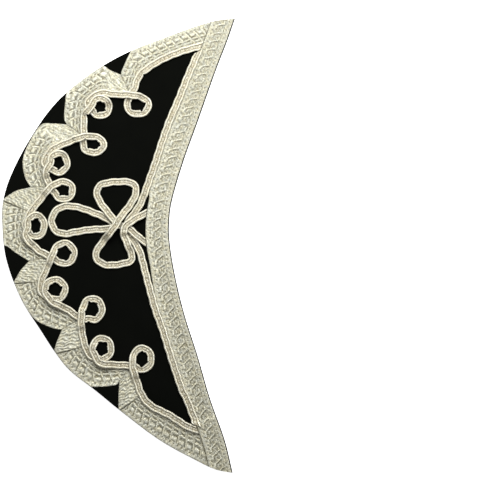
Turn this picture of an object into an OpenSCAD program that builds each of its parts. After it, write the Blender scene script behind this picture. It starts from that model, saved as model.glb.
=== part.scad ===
// A shoulder shell of a doublet, laid flat: a crescent of black cloth edged with woven silver
// lace, with a looped border braid and a knot of three petals. The origin is under the middle of
// the panel, +X points to the sewn edge, +Y to the upper point and +Z up, off the cloth.

/* [Cloth] */
// Thickness of the cloth panel
cloth_thickness = 2.4; // [2:0.1:3]

/* [Lace] */
// Width of the lace along the sewn edge
lace_width = 13.5; // [12:0.5:14]
// Thickness of one layer of lace
lace_thickness = 0.8; // [0.6:0.1:1]
// Strip of bare cloth outside the lace
bare_edge = 0.3; // [0.2:0.1:0.6]

/* [Braid] */
// Width of the two-ridged braid
braid_width = 4.7; // [4:0.1:4.8]
// Height of the braid over its ridges
braid_height = 1.6; // [1.2:0.1:1.8]
// Greatest distance between two sections of a braid
braid_step = 2.6; // [2.4:0.2:4]

/* [Sewing] */
// Gap between two pieces where one lies on the other
lay_gap = 0.1; // [0.05:0.05:0.2]

/* [Hidden] */

cloth_black = [0.07, 0.07, 0.06];
lace_silver = [0.80, 0.78, 0.70];
braid_silver = [0.88, 0.86, 0.78];

// Distance between two points worked out along the edges of the panel
edge_step = 6;
// Greatest angle between two points of a loop of the braid
loop_angle = 45;
// How far a braid takes to come down off another braid, and off the edge of the lace
braid_ramp = 3;
lace_ramp = 1.5;
// How far the outer lace reaches in past the middle of the border braid
lace_tuck = 0.8;
// How far a fold of the lace stays from the edge of the border braid
fold_gap = 0.8;
// Share of the lace's width that the end of a fold covers at its notch
fold_share = 0.45;
// Length of the step that lifts the inner lace over the outer lace
step_length = 1.2;
// Height on the panel, along Y, below which the inner lace lies on the outer lace
step_y = -113.5;
// More than any size of the panel
beyond = 400;

// The curved edge of the panel, from the upper point to the lower point: x, y
curved_edge = [
    [74, 144.5], [58, 142], [26.5, 131], [1, 120.5], [-21.5, 106.5], [-40.5, 90], [-56.5, 67.5],
    [-68.5, 44.5], [-73.5, 28], [-74, 14], [-71.5, -8.5], [-62, -34], [-49.5, -54], [-40, -68.5],
    [-31, -79.5], [-15, -92], [1, -105], [26.5, -124], [52, -138], [62, -142.5], [72.5, -144.5]
];

// The sewn edge of the panel, from the lower point to the upper point, and how much wider than
// elsewhere its lace is there: x, y, extra width
sewn_edge = [
    [72.5, -144.5, 0], [67.5, -124, 0], [58, -97, 0], [50, -69.5, 0], [42, -44.5, 0],
    [36, -20, 0.25], [32.5, 1, 1], [32, 13, 1], [33.5, 27, 0.5], [41, 53, 0.25], [50, 78, 0],
    [62, 112, 0], [69, 130, 0], [74, 144.5, 0]
];

// Where the outer lace turns, from the upper to the lower point. Each row has its outer edge and
// the middle of the border braid that covers its inner edge: edge x, edge y, braid x, braid y
lace_turns = [
    [58.5, 143.5, 51.5, 126.5], // upper corner
    [45.5, 139, 39.5, 123],
    [26, 132, 26.5, 117.5],
    [10, 125.5, 16.5, 111],
    [6.5, 121, 12.5, 106.5],
    [2, 111, 10, 99.5],
    [1.5, 108.5, 7.5, 95.5], // first notch
    [-5.5, 111.5, -2.5, 96],
    [-10.5, 114, -11, 97],
    [-21.5, 107.5, -16, 94.5],
    [-32, 99, -19.5, 90.5],
    [-34, 90, -21.5, 83],
    [-34.5, 80.5, -22, 75],
    [-33, 77, -22, 69], // second notch
    [-41.5, 78, -33.5, 65],
    [-49.5, 78, -42, 61],
    [-58.5, 62, -45.5, 56.5],
    [-61, 53, -47, 52],
    [-59.5, 43.5, -46, 46],
    [-56, 37, -43, 37], // third notch
    [-65.5, 34.5, -51, 27.5],
    [-74, 29, -56, 21],
    [-75, 15, -59, 12.5],
    [-74, 1.5, -58.5, 5.5],
    [-70, -1, -54.5, 0.5],
    [-67, -3.5, -50, -3.5],
    [-57, -10, -42.5, -7.5], // fourth notch
    [-62, -15.5, -45.5, -14.5],
    [-67, -24, -49, -23],
    [-60.5, -37, -48.5, -30],
    [-53, -47, -42, -35.5],
    [-42, -52.5, -32.5, -40.5],
    [-36, -53.5, -23.5, -46.5], // fifth notch
    [-39, -60.5, -23, -55.5],
    [-41.5, -69, -21, -64],
    [-31.5, -80, -17.5, -70],
    [-20, -89, -11.5, -74.5],
    [-3, -89, -5, -75.5],
    [0.5, -86.5, 9, -76.5], // sixth notch
    [0, -95, 11.5, -85.5],
    [0, -105, 15, -95],
    [10.5, -113, 20.5, -101.5],
    [26.5, -124, 32, -107.5],
    [42, -133, 44, -115],
    [59.5, -142, 48.5, -116.5],
    [67, -144.5, 58.5, -122] // lower corner, under the inner lace
];

// The loops of the border braid: the row of lace_turns where the loop is thrown, its middle x and
// y, its half width and half height, the angles where it begins and ends, and whether the braid
// passes that row again as it leaves
loops = [
    [6, 12.25, 89, 6.75, 5.5, 165, 435, true],
    [10, -11.5, 88, 5.5, 5.5, 235, 535, false],
    [13, -16, 64, 6.5, 5, 170, 435, true],
    [17, -38, 52.5, 5.25, 6, 235, 545, false],
    [19, -35, 35, 5.75, 5.5, 200, 470, true],
    [22, -52.5, 12.5, 5.25, 6.75, 240, 550, false],
    [26, -34.5, -5, 6.25, 6.5, 235, 500, true],
    [29, -40.25, -28, 6.25, 6.25, 265, 585, false],
    [32, -16.5, -40.5, 6, 6.75, 245, 525, true],
    [35, -10.5, -65.5, 5.75, 6.5, 265, 585, false],
    [38, 15, -72, 5.75, 6.75, 255, 535, true]
];

// Where the outer lace is folded double: the rows of lace_turns from a notch to its fold
folds = [[19, 21], [26, 28], [32, 34], [38, 40]];

// The route of the braid beside the inner lace, from the upper corner, through a dip at the knot
edge_route = [
    [50, 121.5], [48.5, 118], [43, 105], [38, 92.5], [32.5, 79.5], [28, 67], [24, 54.5],
    [19.5, 41.5], [15, 29], [12.5, 24], [8.5, 18.5], [5.5, 14.5], [5.5, 10], [7.5, 6], [10.5, 1.5],
    [13.5, -4], [16.5, -15], [20, -28.5], [23.5, -41], [28, -53.5], [32, -66.5], [36, -79],
    [40.5, -92], [43.5, -98], [46, -104.5], [48.5, -111]
];

// The route of the knot's braid: lower tail, left petal, upper petal, lower petal, upper tail
knot_route = [
    [16, 3], [12, 6], [7.5, 10], [1.5, 12.5], [-4, 15], [-9, 18], [-15, 20.5], [-21.5, 23],
    [-27, 24.5], [-32.5, 25], [-38, 23.5], [-41.5, 19.5], [-42.5, 15.5], [-41.5, 11.5],
    [-38.5, 8.5], [-34, 7.5], [-27.5, 8.5], [-18, 10], [-8.5, 10.5], [-5, 11], [-2, 13],
    [-2, 15.5], [-3.5, 17], [-7, 21.5], [-11, 26.5], [-13.5, 31.5], [-13.5, 35.5], [-11, 38.5],
    [-5.5, 40], [2, 40.5], [7.5, 40], [10.5, 37.5], [11, 33.5], [9, 28.5], [6, 24],
    [2.5, 19.5], [-3, 11], [-9.5, 3], [-13, -2], [-14.5, -5.5], [-13, -9.5], [-9, -12],
    [-3.5, -12.5], [3, -11.5], [6.5, -10.5], [8.5, -8.5], [8, -5], [5.5, 1.5], [3.5, 7], [4, 11.5],
    [7, 14.5], [11.5, 17.5], [16.5, 20]
];

// Heights: the face that the trimming lies on, and the top of each layer of lace
face_z = cloth_thickness + lay_gap;
lace_layer = lace_thickness + lay_gap;
braid_layer = braid_height + lay_gap;

// The velocity of a smooth line at b, which comes from a and goes on to c
function velocity(a, b, c) = (c - a) / (norm(c - b) + norm(b - a));

// The point at share t of the smooth span from b to c, which lies between a and d
function span_point(a, b, c, d, t) =
    let (length = norm(c - b))
    (2 * t * t * t - 3 * t * t + 1) * b
    + (t * t * t - 2 * t * t + t) * length * velocity(a, b, c)
    + (3 * t * t - 2 * t * t * t) * c
    + (t * t * t - t * t) * length * velocity(b, c, d);

// A smooth line through the points, in pieces no longer than step
function smooth(points, step) = [
    for (i = [0 : len(points) - 2])
        let (
            b = points[i],
            c = points[i + 1],
            a = i > 0 ? points[i - 1] : 2 * b - c,
            d = i < len(points) - 2 ? points[i + 2] : 2 * c - b,
            pieces = ceil(norm(c - b) / step)
        )
        for (k = [0 : pieces - 1]) span_point(a, b, c, d, k / pieces),
    points[len(points) - 1]
];

// The unit vector to the left of the way along a flat line, at its point i
function left_of(line, i) =
    let (
        ahead = line[min(i + 1, len(line) - 1)],
        behind = line[max(i - 1, 0)],
        way = (ahead - behind) / norm(ahead - behind)
    )
    [-way.y, way.x];

// A flat line moved to its left by a distance, and by as much more at each point as a list says
function beside(line, distance, extra = []) = [
    for (i = [0 : len(line) - 1])
        line[i] + (distance + (extra == [] ? 0 : extra[i])) * left_of(line, i)
];

// The list from its last to its first entry
function reversed(list) = [for (i = [len(list) - 1 : -1 : 0]) list[i]];

// How far point p is from the piece of line between a and b
function from_piece(p, a, b) =
    let (share = max(0, min(1, (p - a) * (b - a) / ((b - a) * (b - a)))))
    norm(p - a - share * (b - a));

// How far point p is from a flat line
function from_line(p, line) = min([
    for (i = [0 : len(line) - 2]) from_piece(p, line[i], line[i + 1])
]);

// 1 within reach, falling to 0 over the length of a ramp
function ramp(distance, reach, length) =
    let (share = max(0, min(1, (distance - reach) / length)))
    1 - share * share * (3 - 2 * share);

curved_line = smooth(curved_edge, edge_step);
sewn_stations = smooth(sewn_edge, edge_step);
sewn_line = [for (station = sewn_stations) [station[0], station[1]]];

// The edge of the inner lace that faces the knot
inner_lace_side = beside(
    sewn_line, bare_edge + lace_width, [for (station = sewn_stations) station[2]]
);

turn_edges = [for (turn = lace_turns) [turn[0], turn[1]]];
turn_braids = [for (turn = lace_turns) [turn[2], turn[3]]];

// A point on row i of lace_turns, at a distance in from the middle of the braid
function past_braid(i, distance) =
    let (across = turn_braids[i] - turn_edges[i])
    turn_braids[i] + distance * across / norm(across);

// The inner edge of the outer lace, hidden under the border braid
lace_inner_edge = [for (i = [0 : len(lace_turns) - 1]) past_braid(i, lace_tuck)];

// The points of a loop, evenly spread from its first angle to its last
function loop_points(loop) =
    let (pieces = ceil((loop[6] - loop[5]) / loop_angle))
    [
        for (k = [0 : pieces])
            let (angle = loop[5] + k * (loop[6] - loop[5]) / pieces)
            [loop[1] + loop[3] * cos(angle), loop[2] + loop[4] * sin(angle)]
    ];

// The route of the border braid: the turns of the lace, with a loop wherever one is thrown
border_route = [
    for (i = [0 : len(lace_turns) - 2])
        each concat(
            [turn_braids[i]],
            [for (loop = loops) if (loop[0] == i) each loop_points(loop)],
            [for (loop = loops) if (loop[0] == i && loop[7]) turn_braids[i]]
        )
];

// How high a braid has to lie at point p, where it runs to side's right, to clear the lines laid
// before it. Each laid point has the height of its underside and the vector to its own left.
function height_over(p, side, laid) = max([
    for (q = laid)
        let (
            distance = norm(p - [q[0], q[1]]),
            reach = braid_width / 2 * (1 + abs(side * [q[3], q[4]])) + lay_gap
        )
        if (distance < reach + braid_ramp) (q[2] + braid_layer) * ramp(distance, reach, braid_ramp),
    0
]);

// The line with a height at each point, and the vector to its left: on the lace where it covers
// the lace's edge, on the cloth elsewhere, and over whatever braid was laid before, its own
// earlier turns included
function laid_down(line, lace_edge, others, laid = []) =
    len(laid) == len(line) ? laid :
    let (
        i = len(laid),
        side = left_of(line, i),
        own_gap = ceil(2 * braid_width / braid_step),
        over_lace = lace_edge == [] ? 0 : lace_layer * ramp(
            from_line(line[i], lace_edge), braid_width / 2 + lay_gap, lace_ramp
        ),
        over_others = height_over(line[i], side, others),
        over_itself = height_over(line[i], side, [for (k = [0 : 1 : i - own_gap]) laid[k]])
    )
    laid_down(line, lace_edge, others, concat(laid, [
        [line[i].x, line[i].y, max(over_lace, over_others, over_itself), side.x, side.y]
    ]));

// The section of the braid, as shares of its width and height: two round ridges and a groove
braid_section = [
    [-0.44, 0], [-0.5, 0.5], [-0.37, 0.93], [-0.16, 0.95], [0, 0.62],
    [0.16, 0.95], [0.37, 0.93], [0.5, 0.5], [0.44, 0]
];

// A braid of two ridges along a line that laid_down made
module braid(line) {
    sides = len(braid_section);
    points = [
        for (i = [0 : len(line) - 1])
            for (part = braid_section)
                [
                    line[i][0] + line[i][3] * braid_width * part.x,
                    line[i][1] + line[i][4] * braid_width * part.x,
                    face_z + line[i][2] + braid_height * part.y
                ]
    ];
    walls = [
        for (i = [0 : len(line) - 2])
            for (k = [0 : sides - 1])
                let (next = (k + 1) % sides)
                [i * sides + k, i * sides + next, (i + 1) * sides + next, (i + 1) * sides + k]
    ];
    first_end = [for (k = [sides - 1 : -1 : 0]) k];
    last_end = [for (k = [0 : sides - 1]) (len(line) - 1) * sides + k];
    polyhedron(points, concat([first_end], walls, [last_end]), convexity = 10);
}

// A flat sheet of an outline, from height z up
module sheet(outline, z, thickness) {
    translate([0, 0, z])
        linear_extrude(thickness)
            polygon(outline);
}

// The outline of the panel, made smaller by a margin all round
function panel_outline(margin) = concat(
    beside(curved_line, margin),
    beside(sewn_line, margin)
);

// The crescent of cloth that everything is sewn to
module cloth_panel() {
    color(cloth_black)
        sheet(concat(curved_line, sewn_line), 0, cloth_thickness);
}

// The scalloped lace along the curved edge, doubled where it is folded at a notch
module outer_lace() {
    fold_end = -(braid_width / 2 + fold_gap);
    color(lace_silver)
        intersection() {
            sheet(panel_outline(bare_edge / 2), 0, beyond);
            union() {
                sheet(concat(turn_edges, reversed(lace_inner_edge)), face_z, lace_thickness);
                for (fold = folds)
                    sheet(concat(
                        [for (i = [fold[0] : fold[1]]) turn_edges[i]],
                        [for (i = [fold[1] : -1 : fold[0] + 1]) past_braid(i, fold_end)],
                        [turn_edges[fold[0]] * (1 - fold_share) + turn_braids[fold[0]] * fold_share]
                    ), face_z, 2 * lace_thickness);
            }
        }
}

// The lace along the sewn edge, which steps up onto the end of the outer lace
module inner_lace() {
    color(lace_silver)
        intersection() {
            sheet(panel_outline(bare_edge / 2), 0, beyond);
            for (level = [
                [step_y, beyond, 0, lace_thickness],
                [-beyond, step_y, lace_layer, lace_thickness],
                [step_y, step_y + step_length, 0, lace_layer + lace_thickness]
            ])
                intersection() {
                    sheet(
                        concat(beside(sewn_line, bare_edge), reversed(inner_lace_side)),
                        face_z + level[2],
                        level[3]
                    );
                    translate([-beyond / 2, level[0], 0])
                        cube([beyond, level[1] - level[0], beyond]);
                }
        }
}

edge_line = laid_down(smooth(edge_route, braid_step), inner_lace_side, []);
knot_line = laid_down(smooth(knot_route, braid_step), [], edge_line);
border_line = laid_down(smooth(border_route, braid_step), lace_inner_edge, []);

// The braid along the scallops, with its large and small loops
module border_braid() {
    color(braid_silver)
        braid(border_line);
}

// The braid beside the inner lace
module edge_braid() {
    color(braid_silver)
        braid(edge_line);
}

// The braid of the three-petalled knot and its two tails
module knot_braid() {
    color(braid_silver)
        braid(knot_line);
}

cloth_panel();
outer_lace();
inner_lace();
border_braid();
edge_braid();
knot_braid();
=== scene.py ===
import math

import bmesh
import bpy
import numpy as np
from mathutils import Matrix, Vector, kdtree


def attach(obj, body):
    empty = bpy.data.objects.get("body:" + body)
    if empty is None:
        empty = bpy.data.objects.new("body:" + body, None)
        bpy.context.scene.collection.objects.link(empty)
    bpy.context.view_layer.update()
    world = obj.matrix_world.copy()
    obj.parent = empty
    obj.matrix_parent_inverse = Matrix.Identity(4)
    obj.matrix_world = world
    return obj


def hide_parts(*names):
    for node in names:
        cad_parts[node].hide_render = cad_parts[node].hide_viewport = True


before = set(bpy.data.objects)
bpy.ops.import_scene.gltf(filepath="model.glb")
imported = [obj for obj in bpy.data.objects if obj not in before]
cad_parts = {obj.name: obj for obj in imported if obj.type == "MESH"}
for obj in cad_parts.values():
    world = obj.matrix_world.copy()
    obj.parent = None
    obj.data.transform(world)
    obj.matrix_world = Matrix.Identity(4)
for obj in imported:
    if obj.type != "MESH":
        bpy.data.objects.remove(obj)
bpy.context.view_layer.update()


def mm(table):
    """A table or a size written in millimetres, in metres."""
    return np.array(table, float) * 0.001


# The photograph's frame: how much one of its pixels spans on the cloth, and where its middle
# lies on the panel
PIXEL = 0.000635
PHOTO_SIDE = 500
PHOTO_MIDDLE = (0.0835, -0.00286)
LENS = 200
SENSOR = 36

# How many millimetres a metre has
PER_METRE = 1000

# Sizes of the cloth, and how much of it shows past the lace on the curved edge
CLOTH_THICKNESS = 0.0024
CLOTH_EDGE_ROUNDING = 0.0007
BARE_EDGE = 0.0003

# Sizes of the lace
LACE_WIDTH = 0.0135
LACE_THICKNESS = 0.0008
# How far the outer lace runs on past the middle of the border braid
LACE_TUCK = 0.0008
# How much cloth shows past the inner lace on the sewn edge
SEWN_BARE_EDGE = 0.0006
# How fine the grid of a lace is
LACE_STEP = 0.0003

# Sizes of the braid
BRAID_WIDTH = 0.0047
BRAID_HEIGHT = 0.0016
# The gap between one layer and the next
LAY_GAP = 0.0001
# Over how long a stretch a braid climbs over another one, how high it lies on the edge of the lace,
# and how far from that edge it has come down to the cloth
BRAID_RAMP = 0.0055
LACE_REST = 0.0006
LACE_RAMP = 0.0015

FACE_Z = CLOTH_THICKNESS + LAY_GAP
LACE_LAYER = LACE_THICKNESS + LAY_GAP
BRAID_LAYER = BRAID_HEIGHT + LAY_GAP

# The curved edge of the panel, from the upper point to the lower point: x, y
CURVED_EDGE = mm([
    (74, 144.5), (58, 142), (26.5, 131), (1, 120.5), (-21.5, 106.5), (-40.5, 90), (-56.5, 67.5),
    (-68.5, 44.5), (-73.5, 28), (-74, 14), (-71.5, -8.5), (-62, -34), (-49.5, -54), (-40, -68.5),
    (-31, -79.5), (-15, -92), (1, -105), (26.5, -124), (52, -138), (62, -142.5), (72.5, -144.5),
])

# The sewn edge, from the lower to the upper point: x, y, and how much wider its lace is there
SEWN_EDGE = mm([
    (72.5, -144.5, 0), (67.5, -124, 0), (58, -97, 0), (50, -69.5, 0), (42, -44.5, 0),
    (36, -20, 0.25), (32.5, 1, 1), (32, 13, 1), (33.5, 27, 0.5), (41, 53, 0.25), (50, 78, 0),
    (62, 112, 0), (69, 130, 0), (74, 144.5, 0),
])

# Where the outer lace turns: its outer edge x, y and the middle of the border braid x, y
LACE_TURNS = mm([
    (58.5, 143.5, 51.5, 126.5),  # upper corner
    (45.5, 139, 39.5, 123),
    (26, 132, 26.5, 117.5),
    (10, 125.5, 16.5, 111),
    (6.5, 121, 12.5, 106.5),
    (2, 111, 10, 99.5),
    (1.5, 108.5, 7.5, 95.5),  # first notch
    (-5.5, 111.5, -2.5, 96),
    (-10.5, 114, -11, 97),
    (-21.5, 107.5, -16, 94.5),
    (-32, 99, -19.5, 90.5),
    (-34, 90, -21.5, 83),
    (-34.5, 80.5, -22, 75),
    (-33, 77, -22, 69),  # second notch
    (-41.5, 77.5, -33.5, 65),
    (-49.5, 76.5, -42, 61),
    (-58.5, 62, -45.5, 56.5),
    (-61, 53, -47, 52),
    (-59.5, 43.5, -46, 46),
    (-56, 37, -43, 37),  # third notch
    (-65.5, 34.5, -51, 27.5),
    (-74, 29, -56, 21),
    (-75, 15, -59, 12.5),
    (-74, 1.5, -58.5, 5.5),
    (-70, -1, -54.5, 0.5),
    (-67, -3.5, -50, -3.5),
    (-57, -10, -42.5, -7.5),  # fourth notch
    (-62, -15.5, -45.5, -14.5),
    (-67, -24, -49, -23),
    (-60.5, -37, -48.5, -30),
    (-53, -47, -42, -35.5),
    (-42, -52.5, -32.5, -40.5),
    (-36, -53.5, -23.5, -46.5),  # fifth notch
    (-39, -60.5, -23, -55.5),
    (-41.5, -69, -21, -64),
    (-31.5, -80, -17.5, -70),
    (-20, -89, -11.5, -74.5),
    (-3, -89, -5, -75.5),
    (0.5, -86.5, 9, -76.5),  # sixth notch
    (0, -95, 11.5, -85.5),
    (0, -105, 15, -95),
    (10.5, -113, 20.5, -101.5),
    (26.5, -124, 32, -107.5),
    (42, -133, 44, -115),
    (59.5, -142, 48.5, -116.5),
    (67, -144.5, 58.5, -122),  # lower corner, under the inner lace
])

# The rows of LACE_TURNS where the lace is folded, at a notch or at the outer end of a flap
FOLD_ROWS = [6, 13, 19, 21, 26, 28, 32, 34, 38, 40]
# The flaps that are folded double: the row of the notch and the row of the fold
FLAPS = [(19, 21), (26, 28), (32, 34), (38, 40)]

# The outer lace and the border braid run on past the first and last turns until they butt against
# the inner lace
LACE_START = mm((59.1, 143.7, 52.7, 126.2))
BORDER_START = mm((52.85, 126.9))
BORDER_END = mm((50.1, -117))

# The loops of the border braid: the row of LACE_TURNS where the loop is thrown, its middle x, y,
# half width and half height in millimetres, the angles where it begins and ends, and whether the
# braid passes that row again as it leaves
LOOPS = [
    (6, 12.25, 89, 6.75, 5.5, 165, 435, True),
    (10, -11.5, 88, 5.5, 5.5, 235, 535, False),
    (13, -16, 64, 6.5, 5, 170, 435, True),
    (17, -38, 52.5, 5.25, 6, 235, 545, False),
    (19, -35, 35, 5.75, 5.5, 200, 470, True),
    (22, -52.5, 12.5, 5.25, 6.75, 240, 550, False),
    (26, -34.5, -5, 6.25, 6.5, 235, 500, True),
    (29, -40.25, -28, 6.25, 6.25, 265, 585, False),
    (32, -16.5, -40.5, 6, 6.75, 245, 525, True),
    (35, -10.5, -65.5, 5.75, 6.5, 265, 585, False),
    (38, 15, -72, 5.75, 6.75, 255, 535, True),
]
# The angle between one point of a loop and the next
LOOP_ANGLE = 45

# The route of the braid beside the inner lace: x, y
EDGE_ROUTE = mm([
    (50.8, 123.3), (48.5, 118), (43, 105), (38, 92.5), (32.5, 79.5), (28, 67), (24, 54.5),
    (19.5, 41.5), (15, 29), (12.5, 24), (8.5, 18.5), (5.5, 14.5), (5.5, 10), (7.5, 6), (10.5, 1.5),
    (13.5, -4), (16.5, -15), (20, -28.5), (23.5, -41), (28, -53.5), (32, -66.5), (36, -79),
    (40.5, -92), (43.5, -98), (46, -104.5), (48.5, -111), (49.7, -114.2),
])

# The route of the knot's braid: lower tail, left petal, upper petal, lower petal, upper tail
KNOT_ROUTE = mm([
    (17.3, 2.1), (12, 6), (7.5, 10), (1.5, 12.5), (-4, 15), (-9, 18), (-15, 20.5), (-21.5, 23),
    (-27, 24.5), (-32.5, 25), (-38, 23.5), (-41.5, 19.5), (-42.5, 15.5), (-41.5, 11.5),
    (-38.5, 8.5), (-34, 7.5), (-27.5, 8.5), (-18, 10), (-8.5, 10.5), (-5, 11), (-2, 13),
    (-2, 15.5), (-3.5, 17), (-7, 21.5), (-11, 26.5), (-13.5, 31.5), (-13.5, 35.5), (-11, 38.5),
    (-5.5, 40), (2, 40.5), (7.5, 40), (10.5, 37.5), (11, 33.5), (9, 28.5), (6, 24),
    (2.5, 19.5), (-3, 11), (-9.5, 3), (-13, -2), (-14.5, -5.5), (-13, -9.5), (-9, -12),
    (-3.5, -12.5), (3, -11.5), (6.5, -10.5), (8.5, -8.5), (8, -5), (5.5, 1.5), (3.5, 7),
    (4, 11.5), (7, 14.5), (11.5, 17.5), (17.7, 20.5),
])


# Lines on the panel

# How fine the smooth lines of the panel, of the lace and of the braid are drawn
PANEL_LINE_STEP = 0.003
LACE_LINE_STEP = 0.001
BRAID_LINE_STEP = 0.0005


def smooth(points, step):
    """A smooth line through the points, in pieces no longer than step."""
    line = []
    for i in range(len(points) - 1):
        start, end = points[i], points[i + 1]
        before = points[i - 1] if i > 0 else 2 * start - end
        after = points[i + 2] if i < len(points) - 2 else 2 * end - start
        span = np.linalg.norm(end - start)
        leaving = (end - before) / (span + np.linalg.norm(start - before))
        arriving = (after - start) / (span + np.linalg.norm(after - end))
        pieces = math.ceil(span / step)
        for k in range(pieces):
            t = k / pieces
            line.append(
                (2 * t**3 - 3 * t**2 + 1) * start + (t**3 - 2 * t**2 + t) * span * leaving
                + (3 * t**2 - 2 * t**3) * end + (t**3 - t**2) * span * arriving
            )
    line.append(points[-1])
    return np.array(line)


def run_lengths(line):
    """How far along the line each of its points is."""
    return np.concatenate([[0], np.cumsum(np.linalg.norm(np.diff(line[:, :2], axis=0), axis=1))])


def evenly(line, step):
    """The same line with its points an even distance apart, close to step."""
    lengths = run_lengths(line)
    places = np.linspace(0, lengths[-1], math.ceil(lengths[-1] / step) + 1)
    return np.column_stack([np.interp(places, lengths, column) for column in line.T])


def left_of(line):
    """The unit vector to the left of the way along a flat line, at each point."""
    ahead = np.vstack([line[1:], line[-1:]])
    behind = np.vstack([line[:1], line[:-1]])
    way = (ahead - behind)[:, :2]
    way /= np.linalg.norm(way, axis=1)[:, None]
    return np.column_stack([-way[:, 1], way[:, 0]])


def beside(line, distance):
    """A flat line moved to its left by a distance, or by one distance for each point."""
    return line[:, :2] + left_of(line) * np.reshape(distance, (-1, 1))


def soft_step(value, start, end):
    """0 before start, 1 past end, and a smooth rise between them."""
    share = np.clip((value - start) / (end - start), 0, 1)
    return share * share * (3 - 2 * share)


def from_line(point, line):
    """How far a point is from a flat line."""
    start, way = line[:-1], np.diff(line, axis=0)
    share = np.clip(((point - start) * way).sum(1) / (way * way).sum(1), 0, 1)
    return np.linalg.norm(point - start - share[:, None] * way, axis=1).min()


curved_line = smooth(CURVED_EDGE, PANEL_LINE_STEP)
sewn_stations = smooth(SEWN_EDGE, PANEL_LINE_STEP)
trim_line = beside(curved_line, BARE_EDGE / 2)
inner_lace_side = beside(sewn_stations, BARE_EDGE + LACE_WIDTH + sewn_stations[:, 2])

turn_edges, turn_braids = LACE_TURNS[:, :2], LACE_TURNS[:, 2:]
turn_ways = turn_braids - turn_edges
turn_ways /= np.linalg.norm(turn_ways, axis=1)[:, None]
lace_inner_edge = turn_braids + LACE_TUCK * turn_ways


def on_panel(places):
    """Whether each place is on the panel's side of the curved edge."""
    start, way = trim_line[:-1], np.diff(trim_line, axis=0)
    gap = places[:, None] - start[None]
    share = np.clip((gap * way).sum(2) / (way * way).sum(1), 0, 1)
    nearest = np.linalg.norm(gap - share[..., None] * way, axis=2).argmin(1)
    gap = gap[np.arange(len(places)), nearest]
    return way[nearest, 0] * gap[:, 1] - way[nearest, 1] * gap[:, 0] > 0


def inside_share(inside, outside):
    """How much of the way from each inside point to its outside point lies on the panel."""
    start, way = trim_line[:-1], np.diff(trim_line, axis=0)
    rung = (outside - inside)[:, None]
    gap = start[None] - inside[:, None]
    crossed = rung[..., 0] * way[None, :, 1] - rung[..., 1] * way[None, :, 0]
    along_rung = (gap[..., 0] * way[None, :, 1] - gap[..., 1] * way[None, :, 0]) / crossed
    along_edge = (gap[..., 0] * rung[..., 1] - gap[..., 1] * rung[..., 0]) / crossed
    hit = (along_edge >= 0) & (along_edge <= 1) & (along_rung > 0) & (along_rung < 1)
    return np.where(hit, along_rung, 1).min(1) * on_panel(inside)


# Finishes

class Strand:
    """One output in the recipe of a finish, which sums and products can be made of."""

    def __init__(self, finish, socket):
        self.finish = finish
        self.socket = socket

    def sum_of(self, operation, first, second):
        """The outcome of one kind of sum with two values."""
        return self.finish.add("ShaderNodeMath", {"operation": operation}, {0: first, 1: second})

    def __add__(self, other):
        return self.sum_of("ADD", self, other)

    def __sub__(self, other):
        return self.sum_of("SUBTRACT", self, other)

    def __rsub__(self, other):
        return self.sum_of("SUBTRACT", other, self)

    def __mul__(self, other):
        return self.sum_of("MULTIPLY", self, other)

    __radd__ = __add__
    __rmul__ = __mul__


class Finish:
    """The recipe of one finish: a material, and a method that adds a node to it."""

    def __init__(self, name):
        self.material = bpy.data.materials.new(name)
        self.material.use_nodes = True
        self.tree = self.material.node_tree
        self.tree.nodes.clear()

    def add(self, kind, settings, inputs, output=0):
        """Adds a node of a kind, with its settings and the values or links of its sockets."""
        node = self.tree.nodes.new(kind)
        for name, value in settings.items():
            setattr(node, name, value)
        for name, value in inputs.items():
            if isinstance(value, Strand):
                self.tree.links.new(value.socket, node.inputs[name])
            else:
                node.inputs[name].default_value = value
        return Strand(self, node.outputs[output]) if node.outputs else None

    def blend(self, share, first, second):
        """A colour between two colours."""
        return self.add(
            "ShaderNodeMix", {"data_type": "RGBA"}, {0: share, 6: first, 7: second}, output=2
        )

    def noise(self, place, scale, detail=2.0):
        """Even noise from 0 to 1, by a place."""
        return self.add(
            "ShaderNodeTexNoise", {}, {"Vector": place, "Scale": scale, "Detail": detail}
        )

    def clamped(self, value):
        """A value kept between 0 and 1."""
        return self.add("ShaderNodeClamp", {}, {"Value": value})

    def strong(self, noise):
        """Noise whose middle third is spread over the whole way from 0 to 1."""
        return self.clamped(noise * 3 - 1)

    def stretched(self, place, scale):
        """A place with each of its axes multiplied."""
        return self.add("ShaderNodeMapping", {}, {"Vector": place, "Scale": scale})

    def bumped(self, height, distance):
        """The normal of a surface raised by a height from 0 to 1."""
        return self.add(
            "ShaderNodeBump", {}, {"Height": height, "Distance": distance, "Strength": 1.0}
        )

    def surface(self, **sockets):
        """Ends the recipe with the surface itself. An underscore stands for a space."""
        shader = self.add(
            "ShaderNodeBsdfPrincipled", {},
            {name.replace("_", " "): value for name, value in sockets.items()},
        )
        self.add("ShaderNodeOutputMaterial", {}, {"Surface": shader})
        return self.material


def black_wool():
    """Close black wool cloth, milled until its weave hardly shows."""
    finish = Finish("black_wool")
    place = finish.add("ShaderNodeTexCoord", {}, {}, output="Object")
    fluff = finish.noise(place, scale=2600.0, detail=4.0)
    nap = finish.noise(finish.stretched(place, (1.0, 0.35, 1.0)), scale=900.0, detail=3.0)
    patches = finish.noise(place, scale=60.0)
    return finish.surface(
        Base_Color=finish.blend(
            patches * 0.5 + fluff * 0.5, (0.0012, 0.0014, 0.0011, 1), (0.0036, 0.0040, 0.0030, 1)
        ),
        Roughness=0.95,
        Specular_IOR_Level=0.03,
        Normal=finish.bumped(fluff * 0.6 + nap * 0.4, distance=0.00018),
    )


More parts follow.
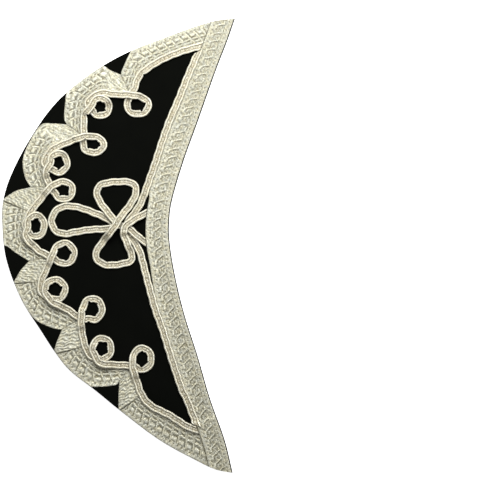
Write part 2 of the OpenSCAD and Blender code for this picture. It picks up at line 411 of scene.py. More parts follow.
def silver_thread(name, bright, pale, worn_and_shaded, tarnished_and_shaded):
    """Silver-coloured metal thread. Its colour holds painted shade with some tarnish: the hollows
    between threads, the creases and the steep sides are painted darker, and they are duller.
    """
    finish = Finish(name)
    place = finish.add("ShaderNodeTexCoord", {}, {}, output="Object")
    weave = finish.add("ShaderNodeUVMap", {"uv_map": "weave"}, {})
    painted_shade = finish.add("ShaderNodeAttribute", {"attribute_name": "painted_shade"}, {}, output="Fac")
    grain = finish.noise(place, scale=1900.0, detail=3.0)
    floats = finish.strong(finish.noise(
        finish.stretched(weave, (1500.0, 900.0, 1.0)), scale=1.0, detail=1.0
    ))
    tint = finish.strong(finish.noise(place, scale=450.0, detail=1.0))
    tarnish = finish.strong(finish.noise(place, scale=620.0, detail=1.0))
    threads = finish.add("ShaderNodeTexWave", {"bands_direction": "DIAGONAL"}, {
        "Vector": finish.stretched(weave, (2600.0, 2600.0, 1.0)), "Scale": 1.0,
        "Distortion": 1.5, "Detail": 1.0, "Detail Scale": 2.0,
    }, output=1)
    silver = finish.blend(tint, bright, pale)
    low = finish.blend(tarnish, worn_and_shaded, tarnished_and_shaded)
    # Painted shade: the deeper a place lies, the more its colour goes over to the dark colours, which
    # stand for shade with some tarnish
    shade = finish.clamped(painted_shade * 0.85 + floats * 0.35 + grain * 0.3 - 0.3)
    return finish.surface(
        Base_Color=finish.blend(shade, silver, low),
        Metallic=0.45,
        Roughness=0.30 + grain * 0.15 + painted_shade * 0.15 + floats * 0.12,
        Normal=finish.bumped(threads * 0.5 + grain * 0.2 + floats * 0.5, distance=0.00010),
    )


def floor_paper():
    """Plain white paper."""
    finish = Finish("floor_paper")
    return finish.surface(
        Base_Color=(0.9, 0.9, 0.9, 1), Roughness=0.9, Specular_IOR_Level=0.1,
        Emission_Color=(1, 1, 1, 1), Emission_Strength=0.85,
    )


# Pieces

def made(name, bm, material, slot, *replaced):
    """A piece of the shell from a bmesh, with its finish and the node that it stands for."""
    mesh = bpy.data.meshes.new(name)
    bm.to_mesh(mesh)
    bm.free()
    mesh.materials.append(material)
    piece = bpy.data.objects.new(name, mesh)
    bpy.context.scene.collection.objects.link(piece)
    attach(piece, "root")
    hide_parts(*replaced)
    return piece


def cloth_panel():
    """The crescent of cloth, with a soft edge."""
    bm = bmesh.new()
    outline = np.vstack([curved_line[:-1], sewn_stations[:-1, :2]])
    face = bm.faces.new([bm.verts.new((x, y, 0)) for x, y in outline])
    raised = bmesh.ops.extrude_face_region(bm, geom=[face])["geom"]
    bmesh.ops.translate(
        bm, vec=(0, 0, CLOTH_THICKNESS),
        verts=[part for part in raised if isinstance(part, bmesh.types.BMVert)],
    )
    bmesh.ops.recalc_face_normals(bm, faces=bm.faces)
    rims = [edge for edge in bm.edges if edge.verts[0].co.z == edge.verts[1].co.z]
    bmesh.ops.bevel(
        bm, geom=rims, affect="EDGES", offset=CLOTH_EDGE_ROUNDING, segments=4, profile=0.5,
        material=-1,
    )
    piece = made("wool_panel", bm, black_wool(), "wool_cloth", "cloth_panel")
    return piece


def bent_grid(bm, places):
    """A grid of faces whose vertices lie at places[row][column], and those vertices."""
    rows, columns = places.shape[:2]
    grid = bmesh.ops.create_grid(bm, x_segments=columns - 1, y_segments=rows - 1, size=1)
    for vertex, place in zip(grid["verts"], places.reshape(-1, 3)):
        vertex.co = place
    return grid["verts"]


def set_weave(piece, across, along, painted_shade):
    """Stores how far across and along the thread each vertex is, and how much painted shade its
    colour gets, which mostly follows how deep between threads it lies.
    """
    mesh = piece.data
    corner = np.empty(len(mesh.loops), int)
    mesh.loops.foreach_get("vertex_index", corner)
    weave = np.column_stack([across, along])[corner]
    mesh.uv_layers.new(name="weave").uv.foreach_set("vector", weave.astype(np.float32).ravel())
    shade = mesh.attributes.new("painted_shade", "FLOAT", "POINT")
    shade.data.foreach_set("value", np.asarray(painted_shade, np.float32))
    mesh.shade_smooth()


# Lace

# The figure of the lace, in millimetres. It says after what length the figure repeats. Strokes are
# raised and slots are sunk: where each starts, across and along the lace, where it ends, and half its
# width. Then comes a stroke's share of the lace's thickness, or how much of that a slot takes away.
# The ground is the share that lies between them. Borders are the plain weave at the two sides, how
# wide and how high. Speckle is how uneven the ground and the borders are, and stitches are the
# columns of stitch holes
LACE_WIDE = 13.5
SCALLOP_FIGURE = {
    "repeat": 5.3,
    "strokes": [
        (2.6, 2.2, 6.6, 0.3, 0.44, 1.00),  # slanting bar
        (6.6, 0.3, 9.8, -1.4, 0.32, 0.74),  # its dull end
        (4.3, 2.9, 4.1, 4.7, 1.00, 1.00),  # thick hook at the start of the bar
        (7.0, 1.2, 6.9, 4.3, 0.50, 0.96),
        (9.0, 0.6, 8.8, 2.7, 0.44, 0.84),
        (10.5, 0.0, 10.5, 2.4, 0.36, 0.80),
    ],
    "slots": [
        (2.8, 1.1, 6.4, -0.6, 0.30, 0.7),
        (5.8, 2.2, 5.7, 4.7, 0.32, 0.7),
        (8.0, 1.2, 7.9, 3.8, 0.34, 0.8),
        (9.8, 0.4, 9.7, 2.4, 0.28, 0.5),
    ],
    "ground": 0.41,
    # The border beside the braid stands higher, so it gets less painted shade, which lightens it
    # against the braid's shadow
    "borders": ((2.3, 0.64), (2.4, 0.76)),
    "speckle": (0.6, 0.5),
    "stitches": (1.9, 11.6),
}
SEWN_FIGURE = {
    "repeat": 5.6,
    "strokes": [
        (4.2, 2.9, 8.4, 0.4, 0.46, 1.00),  # slanting bar
        (3.9, 3.2, 3.4, 5.3, 0.84, 1.00),  # thick hook at the start of the bar
        (8.7, -1.5, 8.6, 0.2, 0.46, 0.90),  # comes down on the end of the bar
        (6.1, 3.4, 5.7, 4.9, 0.42, 0.80),
        (7.5, 2.7, 7.3, 3.9, 0.36, 0.74),
    ],
    "slots": [(5.6, 2.9, 8.8, 1.3, 0.34, 0.7), (5.0, 3.6, 4.8, 5.2, 0.28, 0.5)],
    "ground": 0.33,
    "borders": ((2.9, 0.64), (3.6, 0.57)),
    "speckle": (0.45, 0.28),
    "stitches": (2.5, 11.2),
}
# The ribs across the lace and the cords along it: their spacing, and how high they stand. The
# ribs of the borders have a height of their own
LACE_RIB = 0.93
LACE_CORD = 1.15
RIB_HEIGHT = 0.06
CORD_HEIGHT = 0.08
BORDER_RIB_HEIGHT = 0.08
# How far the figure wanders across and along the lace, and over what length
WANDER_ACROSS = (0.6, 2.3)
WANDER_ALONG = (0.7, 3.1)
# The size of worn patches and of speckles
WEAR_SIZE = 1.4
SPECKLE_SIZE = 0.75
# How round a stroke is, and how much of it a speckle takes away
STROKE_ROUNDNESS = 0.4
STROKE_SPECKLE = 0.25
# How deep a slot is at least and how much wear adds, and between which shares of its half width it
# comes up again
SLOT_DEPTH = (0.45, 0.55)
SLOT_EDGE = (0.4, 1.4)
# How soft the line between the figure and a border is
BORDER_SOFTNESS = 0.3
# The spacing of the stitch holes, how far the first one is shifted, what is left in a hole and what
# is taken away, and from where to where a hole reaches
STITCH_HOLES = 2.8
STITCH_SHIFT = 0.7
STITCH_LEFT = (0.15, 0.85)
STITCH_HOLE = (0.2, 0.75)
# How wide the rounded side of the lace is, which its painted shade darkens towards the rim, and the
# least that is left there, and the lowest that the lace gets anywhere
SELVEDGE = 0.6
SELVEDGE_LEAST = 0.3
LOWEST = 0.04
# Numbers that scatter the sine of a place, so that neighbouring places get unlike values
SCATTER_ACROSS = 127.1
SCATTER_ALONG = 311.7
SCATTER_SCALE = 43758.5
# The wrong side of the lace, which shows past a fold: the spacing of its wavy bars, how far they
# wave, and over what length
BACK_REPEAT = 2.0
BACK_WAVE = 0.4
BACK_WAVE_LENGTH = 4.6
# How much the waves slant, how far the bars wander and over what length, and how sharp they are
BACK_SLANT = 0.3
BACK_WANDER = (1.8, 2.6)
BACK_SHARPNESS = 1.5
# The height between the bars, the height of the bars, and how high and how large its speckles are
BACK_GROUND = 0.32
BACK_BARS = 0.45
BACK_SPECKLE = (0.5, 0.8)
# Where it shows: the row of LACE_TURNS with the fold, how far past it the wrong side reaches, and
# the turn of its bars in radians
BACK_STRETCHES = [
    (6, 0.013, 1.0), (13, 0.016, 1.0), (19, 0.040, 0.2), (26, 0.040, 0.2), (32, 0.040, 0.3),
    (38, 0.040, 0.3),
]
# How soft the end of the wrong side is
BACK_FADE = 0.002
# How much flatter the inner lace is pressed at its upper end, and where along it that has passed
PRESSED = 0.25
PRESSED_HEIGHT = 0.34
PRESSED_STRETCH = (0.05, 0.17)
# The share of its thickness that the lace loses in a crease, which its painted shade also paints
# darker, how wide the crease is, and how wide it is in the shadow of a flap, where that painted shade
# stands for the flap's shadow
CREASE_DEPTH = 0.7
CREASE_WIDTH = 0.0004
SHADOW_WIDTH = 0.0008
# Up to where the outer lace is pressed down beside the lower end of the inner lace, and painted
# darker there as that lace's shadow
SEAM_TOP = -0.112
# The gap to the braid beside it over which the inner lace stops being led on under that braid
TUCK_FADE = (0.0009, 0.0016)
# The stretch along y in which it is led on, and over how far that fades out at the two corners
TUCK_STRETCH = (-0.1135, 0.1232)
TUCK_END_FADE = 0.0012
# How far from the middle of a braid the lace below it is pressed flat, and where that has ended
PRESS_REACH = (0.0020, 0.0024)
# The shares of the way across where a folded flap comes down onto the cloth
FLAP_SLOPE = (0.45, 0.7)
# Between which distances below the panel's middle the inner lace climbs onto the outer lace
CLIMB = (0.1115, 0.1145)
# How much earlier the braid beside it starts to climb
CLIMB_LEAD = 0.0015


def from_stroke(across, along, stroke):
    """How far places are from the middle of a stroke."""
    x0, y0, x1, y1 = stroke[:4]
    way_x, way_y = x1 - x0, y1 - y0
    share = ((across - x0) * way_x + (along - y0) * way_y) / (way_x**2 + way_y**2)
    share = np.clip(share, 0, 1)
    return np.hypot(across - x0 - share * way_x, along - y0 - share * way_y)


def uneven(across, along, size):
    """Smooth uneven values from 0 to 1, which change over about a size."""
    column, row = across / size, along / size
    left, low = np.floor(column), np.floor(row)
    rise_x, rise_y = soft_step(column - left, 0, 1), soft_step(row - low, 0, 1)
    value = 0
    for right, share_x in ((0, 1 - rise_x), (1, rise_x)):
        for up, share_y in ((0, 1 - rise_y), (1, rise_y)):
            wild = np.sin((left + right) * SCATTER_ACROSS + (low + up) * SCATTER_ALONG)
            wild = wild * SCATTER_SCALE
            value = value + (wild - np.floor(wild)) * share_x * share_y
    return value


def lace_height(across, along, figure):
    """How high the lace stands, from 0 to 1, across and along it in millimetres."""
    ribs = np.cos(2 * math.pi * along / LACE_RIB + across)
    cords = np.cos(2 * math.pi * across / LACE_CORD + np.sin(along))
    x = across + WANDER_ACROSS[0] * (uneven(across, along, WANDER_ACROSS[1]) - 0.5)
    y = along + WANDER_ALONG[0] * (uneven(along, across, WANDER_ALONG[1]) - 0.5)
    wear = uneven(across, along, WEAR_SIZE)
    speckle = uneven(across, along, SPECKLE_SIZE)
    y = y % figure["repeat"]
    inner_speckle, border_speckle = figure["speckle"]
    height = figure["ground"] + RIB_HEIGHT * ribs + CORD_HEIGHT * cords
    height = height + inner_speckle * (speckle - 0.5)
    for turn in (-1, 0, 1):
        for stroke in figure["strokes"]:
            distance = from_stroke(x, y - turn * figure["repeat"], stroke)
            half, top = stroke[4:]
            dome = np.clip(1 - (distance / half) ** 2, 0, 1) ** STROKE_ROUNDNESS
            height = np.maximum(height, top * (1 - STROKE_SPECKLE * speckle) * dome)
    for turn in (-1, 0, 1):
        for slot in figure["slots"]:
            distance = from_stroke(x, y - turn * figure["repeat"], slot)
            half, depth = slot[4:]
            sunk = depth * (SLOT_DEPTH[0] + SLOT_DEPTH[1] * wear)
            height -= sunk * (1 - soft_step(distance / half, *SLOT_EDGE))
    texture = BORDER_RIB_HEIGHT * ribs + border_speckle * (speckle - 0.5)
    for (wide, top), from_side in zip(figure["borders"], (across, LACE_WIDE - across)):
        border = 1 - soft_step(from_side, wide - BORDER_SOFTNESS, wide + BORDER_SOFTNESS)
        height += (top + texture - height) * border
    return finished_edges(across, along, height, figure["stitches"])


def back_height(across, along, turn):
    """How high the wrong side of the lace stands, with its bars turned."""
    slanted = across + BACK_SLANT * along
    wave = BACK_WAVE * np.sin(2 * math.pi * slanted / BACK_WAVE_LENGTH)
    wander = BACK_WANDER[0] * (uneven(across, along, BACK_WANDER[1]) - 0.5)
    phase = along * np.cos(turn) + across * np.sin(turn) + wave + wander
    bars = np.abs(np.cos(math.pi * phase / BACK_REPEAT)) ** BACK_SHARPNESS
    speckle = BACK_SPECKLE[0] * (uneven(across, along, BACK_SPECKLE[1]) - 0.5)
    return finished_edges(across, along, BACK_GROUND + BACK_BARS * bars + speckle, ())


def finished_edges(across, along, height, stitches):
    """A height with the stitch holes sunk into it and the two sides rounded off."""
    for column in stitches:
        from_hole = (along + STITCH_SHIFT) % STITCH_HOLES - STITCH_HOLES / 2
        hole = np.hypot(across - column, from_hole)
        height = height * (STITCH_LEFT[0] + STITCH_LEFT[1] * soft_step(hole, *STITCH_HOLE))
    from_side = np.minimum(across, LACE_WIDE - across)
    selvedge = np.clip(from_side / SELVEDGE, 0, 1)
    rounded = np.sqrt(np.clip(1 - (1 - selvedge) ** 2, SELVEDGE_LEAST, 1))
    return np.clip(height, LOWEST, 1) * rounded


def between_rails(outer, inner):
    """Values on a grid that runs from each of the outer values across to its inner one."""
    share = np.linspace(0, 1, math.ceil(LACE_WIDTH / LACE_STEP) + 1)
    share = share.reshape((1, -1) + (1,) * (outer.ndim - 1))
    return outer[:, None] * (1 - share) + inner[:, None] * share


def pressed_under(height, flat, lift, laid):
    """The height of a lace, kept low enough to clear the braid that is sewn over it."""
    strands = kdtree.KDTree(len(laid))
    for i, place in enumerate(laid[:, :2]):
        strands.insert((*place, 0), i)
    strands.balance()
    for place in np.ndindex(height.shape):
        over = strands.find_range((*flat[place], 0), PRESS_REACH[1])
        if over:
            room = min(laid[i, 2] for _, i, _ in over) - lift[place] - LAY_GAP / 2
            pressed = max(room / LACE_THICKNESS, 0)
            nearest = min(distance for _, _, distance in over)
            pressed += (1 - pressed) * soft_step(nearest, *PRESS_REACH)
            height[place] = min(height[place], pressed)
    return height


def laid_lace(name, node, finish, flat, across, along, height, lift, foot):
    """A piece of lace on a grid of places, as high as its figure and lifted off the cloth.

    The foot is how high over the cloth its underside lies.
    """
    bm = bmesh.new()
    bent_grid(bm, np.dstack([flat, FACE_Z + lift + LACE_THICKNESS * height]))
    bm.verts.index_update()
    rim = [edge for edge in bm.edges if edge.is_boundary]
    above = {tuple(vertex.co): vertex.index for edge in rim for vertex in edge.verts}
    lowered = bmesh.ops.extrude_edge_only(bm, edges=rim)["geom"]
    source = list(range(height.size))
    sides = set()
    for vertex in lowered:
        if isinstance(vertex, bmesh.types.BMVert):
            source.append(above[tuple(vertex.co)])
            vertex.co.z = FACE_Z + foot.flat[source[-1]]
            if 0 < source[-1] // height.shape[1] < len(height) - 1:
                sides.add(vertex)
    bmesh.ops.bridge_loops(
        bm, edges=[edge for edge in bm.edges if edge.is_boundary and sides.issuperset(edge.verts)]
    )
    bmesh.ops.holes_fill(bm, edges=[edge for edge in bm.edges if edge.is_boundary], sides=0)
    bmesh.ops.recalc_face_normals(bm, faces=bm.faces)
    piece = made(name, bm, finish, "silver_lace", node)
    # The lower the lace lies, the more painted shade its colour gets
    set_weave(
        piece, across.ravel()[source], along.ravel()[source], (1 - height).ravel()[source]
    )
    return piece


def from_rung(flat, row):
    """How far each place of a grid is from the line through one of its rows."""
    start, end = flat[row, 0], flat[row, -1]
    across = (end - start) / np.linalg.norm(end - start)
    gap = flat - start
    return np.abs(gap[..., 0] * across[1] - gap[..., 1] * across[0])


def pressed_down(distance, width):
    """How far lace is pressed down at a distance from a crease of a width, from 0 to 1."""
    return np.exp(-(distance / width) ** 2)


def seam_dip_and_shadow(flat, side_rail):
    """How far each place of a grid is pressed down beside the lower end of the inner lace, which the
    lace's painted shade turns into a painted shadow of that lace.
    """
    crease = np.zeros(flat.shape[:2])
    seam = side_rail[side_rail[:, 1] < SEAM_TOP]
    for place in np.argwhere(flat[..., 1] < SEAM_TOP):
        crease[tuple(place)] = pressed_down(from_line(flat[tuple(place)], seam), SHADOW_WIDTH)
    return crease


def outer_lace(finish, side_rail, border_laid):
    """The scalloped lace along the curved edge, in runs between its folds."""
    turns = np.vstack([LACE_START, np.hstack([turn_edges, lace_inner_edge])])
    ends = [0] + [row + 1 for row in FOLD_ROWS] + [len(turns) - 1]
    flaps = [(notch + 1, fold + 1) for notch, fold in FLAPS]
    backs = {row + 1: (reach, turn) for row, reach, turn in BACK_STRETCHES}
    flat, along, lift, crease, back, turned = [], [], [], [], [], []
    for first, last in zip(ends, ends[1:]):
        run = evenly(smooth(turns[first:last + 1], LACE_LINE_STEP), LACE_STEP)
        outer, inner = run[:, :2], run[:, 2:]
        middle = (outer + inner) / 2
        way = -left_of(middle)[:, ::-1] * (-1, 1)
        edge = inner + (outer - inner) * inside_share(inner, outer)[:, None]
        lengths = run_lengths(middle)
        flat.append(between_rails(edge, inner))
        along.append(between_rails(
            lengths + ((edge - middle) * way).sum(1), lengths + ((inner - middle) * way).sum(1)
        ))
        # A crease is sunk and so gets painted shade; after a flap it is wider, as a painted shadow of
        # the flap
        after_flap = first in [fold for notch, fold in flaps]
        start_width = SHADOW_WIDTH if after_flap else CREASE_WIDTH
        start_crease = pressed_down(from_rung(flat[-1], 0), start_width) * (first > 0)
        end_crease = pressed_down(from_rung(flat[-1], -1), CREASE_WIDTH) * (last < ends[-1])
        crease.append(np.maximum(start_crease, end_crease))
        lift.append(np.full(len(run), LACE_THICKNESS if (first, last) in flaps else 0))
        reach, turn = backs.get(first, (0, 0))
        back.append(1 - soft_step(lengths, reach - BACK_FADE, reach + BACK_FADE))
        turned.append(np.full(len(run), turn))
    flat, along = np.vstack(flat), np.vstack(along)
    across = between_rails(np.zeros(len(flat)), np.full(len(flat), LACE_WIDTH))
    lift = np.concatenate(lift)[:, None] * (1 - soft_step(across / LACE_WIDTH, *FLAP_SLOPE))
    back, turned = np.concatenate(back)[:, None], np.concatenate(turned)[:, None]
    height = (
        back_height(across * PER_METRE, along * PER_METRE, turned) * back
        + lace_height(across * PER_METRE, along * PER_METRE, SCALLOP_FIGURE) * (1 - back)
    )
    crease = np.maximum(np.vstack(crease), seam_dip_and_shadow(flat, side_rail))
    height *= 1 - CREASE_DEPTH * crease
    height = pressed_under(height, flat, lift, border_laid)
    foot = np.zeros_like(lift)
    return laid_lace(
        "scalloped_lace", "outer_lace", finish, flat, across, along, height, lift, foot
    )


def climb(y):
    """How high the inner lace lies over the cloth where it climbs onto the outer lace."""
    return LACE_LAYER * soft_step(-y, *CLIMB)


def tucked_side():
    """The side of the inner lace, led on until it is hidden under the braid beside it."""
    stations = evenly(np.column_stack([sewn_stations[:, :2], inner_lace_side])[::-1], LACE_STEP)
    sewn, side = stations[:, :2], stations[:, 2:]
    toward = (side - sewn) / np.linalg.norm(side - sewn, axis=1)[:, None]
    route = smooth(EDGE_ROUTE, LACE_LINE_STEP)
    gap = np.array([from_line(place, route) for place in side]) - BRAID_WIDTH / 2
    reach = np.clip(gap + LACE_TUCK / 2, 0, None) * (1 - soft_step(gap, *TUCK_FADE))
    past_end = np.maximum(TUCK_STRETCH[0] - side[:, 1], side[:, 1] - TUCK_STRETCH[1])
    reach *= 1 - soft_step(past_end, 0, TUCK_END_FADE)
    return sewn + toward * SEWN_BARE_EDGE, side + toward * reach[:, None]


def inner_lace(finish, sewn_rail, side_rail, edge_laid):
    """The lace along the sewn edge, which climbs onto the end of the outer lace."""
    share = inside_share(sewn_rail, side_rail)
    shown = share > 0
    sewn, side, share = sewn_rail[shown], side_rail[shown], share[shown]
    cut = sewn + (side - sewn) * share[:, None]
    widths = np.full(len(cut), LACE_WIDTH)
    lengths = run_lengths(sewn_rail)[shown]
    flat = between_rails(cut, sewn)
    across = between_rails(widths * (1 - share), widths)
    along = between_rails(lengths, lengths)
    height = lace_height(across * PER_METRE, along * PER_METRE, SEWN_FIGURE)
    pressed = PRESSED * (1 - soft_step(along, *PRESSED_STRETCH))
    height += (PRESSED_HEIGHT - height) * pressed
    raised = climb(cut[:, 1])
    lift = between_rails(raised, raised)
    height = pressed_under(height, flat, lift, edge_laid)
    return laid_lace(
        "sewn_edge_lace", "inner_lace", finish, flat, across, along, height, lift, lift
    )


# Braids

# The section of the braid, from the middle of its face over one ridge to its foot: shares of its
# width and height, and how much painted shade each point gets, most in the groove between the ridges
# and on the steep side down to the foot
BRAID_SECTION = np.array([
    (0, 0.62, 0.36), (0.07, 0.64, 0.33), (0.13, 0.57, 0.42), (0.17, 0.45, 0.85), (0.21, 0.50, 0.8),
    (0.245, 0.84, 0.15), (0.31, 1, 0), (0.375, 0.98, 0), (0.435, 0.87, 0.10), (0.48, 0.70, 0.55),
    (0.50, 0.50, 1), (0.455, 0.22, 1), (0.36, 0, 1),
])
# The share of the width where a ridge starts, and the middle that its plait is raised from
RIDGE_START = 0.22
RIDGE_MIDDLE = (0.34, 0.5)
# The plait of the ridges, and the deep stitches along the middle
PLAIT = 0.0013
PLAIT_DEPTH = 0.00012
PLAIT_ROUNDNESS = 0.7
STITCH_STEP = 0.0028
STITCH_DEPTH = 0.0003
STITCH_REACH = 0.0005
STITCH_SHARPNESS = 3
RING_STEP = PLAIT / 5
# How much painted shade the hollows of the plait and the stitches get, how uneven that is on the
# ridges and between them, and over what size
PLAIT_PAINTED_SHADE = 0.25
STITCH_PAINTED_SHADE = 0.45
RIDGE_SPECKLE = 0.2
MIDDLE_SPECKLE = 0.45
BRAID_SPECKLE_SIZE = 0.0007
# Over how long a stretch an end turns to the way that it is trimmed along
TRIM_STRETCH = 0.005
# How many times the heights of crossing strands are worked out, so that stacked ones clear each other
STACK_PASSES = 4
# How many of its widths a braid runs before it may cross itself
CROSSING_REACH = 2.2
# How far a hand-sewn braid sways, and over what length
SWAY = 0.00012
SWAY_LENGTH = 0.0073
# How far the inside of a tight bend is drawn in at its corners and at the puckers between them,
# and how far along the braid these lie from each other
CORNER = 0.40
CORNER_LENGTH = 0.0086
PUCKER = 0.05
PUCKER_LENGTH = 0.0041
# Between which bends, in radians a metre, this comes in, the least of it, and how much may be added
TIGHT_BEND = (80, 160)
PUCKER_SPREAD = (0.6, 0.8)
# How much of that the knot shows, where the border braid shows all and the straighter one none
KNOT_SLACK = 0.35
# The ways of the inner lace's side where braids are trimmed along it, from the lower corner up
LOWER_CORNER_WAY = (-0.35, 0.94)
UPPER_CORNER_WAY = (0.37, 0.93)
LOWER_TAIL_WAY = (-0.09, 1.0)
UPPER_TAIL_WAY = (0.12, 0.99)
# The ways of the border braid where the ends of the edge braid meet it
BORDER_START_WAY = (0.87, 0.5)
BORDER_END_WAY = (0.95, -0.32)


def loop_points(loop):
    """The points of a loop, evenly spread from its first angle to its last."""
    _, mid_x, mid_y, half_width, half_height, start, end, _ = loop
    angles = np.radians(np.linspace(start, end, math.ceil((end - start) / LOOP_ANGLE) + 1))
    return mm(np.column_stack([
        mid_x + half_width * np.cos(angles), mid_y + half_height * np.sin(angles)
    ]))


def border_route():
    """The route of the border braid: the turns of the lace, with a loop wherever one is thrown."""
    thrown = {loop[0]: loop for loop in LOOPS}
    route = [BORDER_START]
    for row, place in enumerate(turn_braids[:-1]):
        route.append(place)
        if row in thrown:
            route.extend(loop_points(thrown[row]))
            if thrown[row][-1]:
                route.append(place)
    return np.array(route + [BORDER_END])


def height_over(place, side, laid):
    """How high a braid has to lie at a place to clear the points laid before it."""
    if len(laid) == 0:
        return 0
    distance = np.linalg.norm(laid[:, :2] - place, axis=1)
    reach = BRAID_WIDTH / 2 * (1 + np.abs(laid[:, 3:] @ side)) + LAY_GAP
    return ((laid[:, 2] + BRAID_LAYER) * (distance < reach)).max()


def ramped(needed, lengths):
    """Heights that reach what is needed and come down gently along the braid on both sides."""
    height = np.zeros(len(needed))
    for i in np.flatnonzero(needed):
        ramp = needed[i] * (1 - soft_step(np.abs(lengths - lengths[i]), 0, BRAID_RAMP))
        height = np.maximum(height, ramp)
    return height


def laid_down(route, trims, lace_edge=None, others=()):
    """A route as points x, y, height over the cloth's face, and the vector to the left.

    The trims are the ways along which the first and the last end are cut.
    """
    line = evenly(smooth(route, BRAID_LINE_STEP), RING_STEP)
    lengths = run_lengths(line)
    line = beside(line, SWAY * np.sin(2 * math.pi * lengths / SWAY_LENGTH))
    sides = left_of(line)
    for trim, end, from_end in zip(trims, (0, -1), (lengths, lengths[-1] - lengths)):
        slanted = np.array(trim) / (sides[end] @ trim)
        turned = 1 - soft_step(from_end, 0, TRIM_STRETCH)[:, None]
        sides = sides * (1 - turned) + slanted * turned
    rest = np.zeros(len(line))
    if lace_edge is not None:
        from_edge = np.array([from_line(place, lace_edge) for place in line])
        rest = LACE_REST * (1 - soft_step(from_edge - BRAID_WIDTH / 2 - LAY_GAP, 0, LACE_RAMP))
    laid = np.column_stack([line, rest, sides])
    own_gap = math.ceil(CROSSING_REACH * BRAID_WIDTH / RING_STEP)
    for _ in range(STACK_PASSES):
        needed = np.array([
            max(
                height_over(row[:2], row[3:], others),
                height_over(row[:2], row[3:], laid[:max(0, i - own_gap)]),
            )
            for i, row in enumerate(laid)
        ])
        laid[:, 2] = np.maximum(rest, ramped(needed, lengths))
    return laid


def puckers(laid, lengths, slack):
    """How much the inside of each bend is drawn in, below 0 where the inside is on the right."""
    way = np.gradient(laid[:, :2], axis=0)
    angle = np.unwrap(np.arctan2(way[:, 1], way[:, 0]))
    bend = np.gradient(angle, lengths)
    tight = soft_step(np.abs(bend), *TIGHT_BEND) * np.sign(bend)
    corner = np.abs(2 * (lengths / CORNER_LENGTH % 1) - 1) ** 2
    pucker = 0.5 + 0.5 * np.cos(2 * math.pi * lengths / PUCKER_LENGTH)
    drawn = CORNER * corner + PUCKER * pucker
    spread = uneven(lengths, np.zeros_like(lengths), PUCKER_LENGTH)
    return slack * drawn * tight * (PUCKER_SPREAD[0] + PUCKER_SPREAD[1] * spread)


def braid(name, node, finish, laid, slack):
    """A plaited braid of two ridges along a line that laid_down made.

    The slack is how much of the full puckers its tight bends show.
    """
    mirrored = BRAID_SECTION[:0:-1] * (-1, 1, 1)
    section = np.vstack([BRAID_SECTION, mirrored, BRAID_SECTION[:1]])
    size = section[:, :2] * (BRAID_WIDTH, BRAID_HEIGHT)
    wrap = run_lengths(size)
    wrap = np.where(section[:, 0] < 0, wrap - wrap[-1], wrap)
    wrap[-1] = 0
    along = np.arange(len(laid)) * RING_STEP
    ridge = np.abs(section[:, 0]) > RIDGE_START
    plait = np.abs(np.sin(math.pi * (along[:, None] - np.abs(wrap)) / PLAIT)) ** PLAIT_ROUNDNESS
    knots = np.cos(2 * math.pi * along[:, None] / PLAIT + np.sign(wrap) * math.pi / 2)
    stitch = np.outer(
        (0.5 + 0.5 * np.cos(2 * math.pi * along / STITCH_STEP)) ** STITCH_SHARPNESS,
        np.exp(-(wrap / STITCH_REACH) ** 2),
    )
    out = section[:, :2] - np.column_stack([
        RIDGE_MIDDLE[0] * np.sign(section[:, 0]) * ridge, RIDGE_MIDDLE[1] * ridge
    ])
    out /= np.linalg.norm(out, axis=1)[:, None]
    relief = np.where(ridge, PLAIT_DEPTH * (plait - 1), PLAIT_DEPTH / 2 * (knots - 1))
    relief = relief - STITCH_DEPTH * stitch
    x = size[:, 0] + out[:, 0] * relief
    drawn = puckers(laid, along, slack)[:, None] * np.sign(section[:, 0])
    x = x * (1 - np.clip(drawn, 0, 1))
    z = np.maximum(size[:, 1] + out[:, 1] * relief, 0) * (section[:, 1] > 0)
    bm = bmesh.new()
    bent_grid(bm, np.dstack([
        laid[:, 0, None] + laid[:, 3, None] * x,
        laid[:, 1, None] + laid[:, 4, None] * x,
        FACE_Z + laid[:, 2, None] + z,
    ]))
    rows, columns = x.shape
    vertices = list(bm.verts)
    seam = {vertices[(row + 1) * columns - 1]: vertices[row * columns] for row in range(rows)}
    bmesh.ops.weld_verts(bm, targetmap=seam)
    ends = [edge for edge in bm.edges if edge.is_boundary]
    bmesh.ops.holes_fill(bm, edges=ends, sides=0)
    bmesh.ops.recalc_face_normals(bm, faces=bm.faces)
    piece = made(name, bm, finish, "silver_braid", node)
    # Painted shade on the braid: the section's own, darker in the plait's hollows and at the
    # stitches, with random speckle
    lows = np.where(ridge, 1 - plait, (1 - knots) / 2)
    across = np.broadcast_to(wrap, x.shape)
    run = np.broadcast_to(along[:, None], x.shape)
    speckle = uneven(across, run, BRAID_SPECKLE_SIZE) - 0.5
    speckle = np.where(ridge, RIDGE_SPECKLE, MIDDLE_SPECKLE) * speckle
    painted_shade = section[:, 2] + PLAIT_PAINTED_SHADE * lows + STITCH_PAINTED_SHADE * stitch + speckle
    painted_shade = np.clip(painted_shade, 0, 1)
    set_weave(piece, *(values[:, :-1].ravel() for values in (across, run, painted_shade)))
    return piece


# Light, camera and floor

# How far the floor runs from the middle, and how far it lies below the shell
FLOOR_REACH = 6
FLOOR_DROP = 0.0001
# The light of the room, and the place, size and power of the lamp above the upper point
ROOM_LIGHT = 0.30
LAMP_PLACE = (0.06, 0.33, 0.42)
LAMP_SIZE = (0.5, 0.25)
LAMP_POWER = 4.5


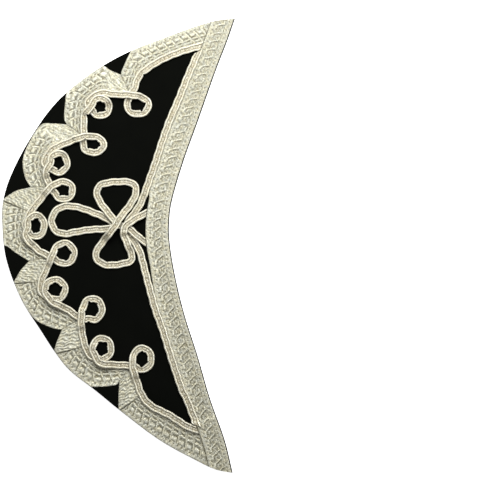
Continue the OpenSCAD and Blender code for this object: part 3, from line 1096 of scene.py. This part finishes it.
def floor():
    """The white paper that the shell lies on."""
    bm = bmesh.new()
    bmesh.ops.create_grid(bm, x_segments=1, y_segments=1, size=FLOOR_REACH)
    bmesh.ops.translate(bm, vec=(0, 0, -FLOOR_DROP), verts=bm.verts)
    mesh = bpy.data.meshes.new("paper_floor")
    bm.to_mesh(mesh)
    bm.free()
    mesh.materials.append(floor_paper())
    piece = bpy.data.objects.new("paper_floor", mesh)
    bpy.context.scene.collection.objects.link(piece)


def soft_lamp(name, place, target, size, power):
    """A soft lamp at a place, turned to a target."""
    lamp = bpy.data.lights.new(name, "AREA")
    lamp.shape = "RECTANGLE"
    lamp.size, lamp.size_y = size
    lamp.energy = power
    stand = bpy.data.objects.new(name, lamp)
    stand.location = place
    way = Vector(target) - Vector(place)
    stand.rotation_euler = way.to_track_quat("-Z", "Y").to_euler()
    bpy.context.scene.collection.objects.link(stand)


def studio():
    """Even pale light from all round, a soft lamp above the upper point, and the camera."""
    scene = bpy.context.scene
    world = bpy.data.worlds.new("pale_room")
    world.use_nodes = True
    background = world.node_tree.nodes["Background"]
    background.inputs["Color"].default_value = (1, 1, 1, 1)
    background.inputs["Strength"].default_value = ROOM_LIGHT
    scene.world = world
    soft_lamp("key_lamp", LAMP_PLACE, (0, 0, 0), LAMP_SIZE, LAMP_POWER)
    scene.view_settings.view_transform = "Standard"
    lens = bpy.data.cameras.new("photo_camera")
    lens.lens = LENS
    lens.sensor_width = SENSOR
    camera = bpy.data.objects.new("photo_camera", lens)
    camera.location = (*PHOTO_MIDDLE, PIXEL * PHOTO_SIDE * LENS / SENSOR + FACE_Z + LACE_LAYER)
    scene.collection.objects.link(camera)
    scene.camera = camera


# The shell

# The last two colours of each finish are painted shade for the hollows, with some tarnish
lace_finish = silver_thread(
    "silver_lace_thread", (0.92, 0.882, 0.67, 1), (0.87, 0.872, 0.75, 1),
    (0.13, 0.105, 0.04, 1), (0.115, 0.117, 0.09, 1),
)
braid_finish = silver_thread(
    "silver_braid_thread", (0.99, 0.94, 0.74, 1), (0.93, 0.92, 0.80, 1),
    (0.17, 0.12, 0.04, 1), (0.19, 0.16, 0.08, 1),
)

studio()
floor()
cloth_panel()
sewn_rail, side_rail = tucked_side()
edge_laid = laid_down(EDGE_ROUTE, (BORDER_START_WAY, BORDER_END_WAY), side_rail)
edge_laid[:, 2] += climb(edge_laid[:, 1] - CLIMB_LEAD)
knot_laid = laid_down(KNOT_ROUTE, (LOWER_TAIL_WAY, UPPER_TAIL_WAY), None, edge_laid)
border_laid = laid_down(border_route(), (UPPER_CORNER_WAY, LOWER_CORNER_WAY), lace_inner_edge)
outer_lace(lace_finish, side_rail, border_laid)
inner_lace(lace_finish, sewn_rail, side_rail, edge_laid)
braid("edge_cord_braid", "edge_braid", braid_finish, edge_laid, slack=0)
braid("knot_cord_braid", "knot_braid", braid_finish, knot_laid, slack=KNOT_SLACK)
braid("border_cord_braid", "border_braid", braid_finish, border_laid, slack=1)
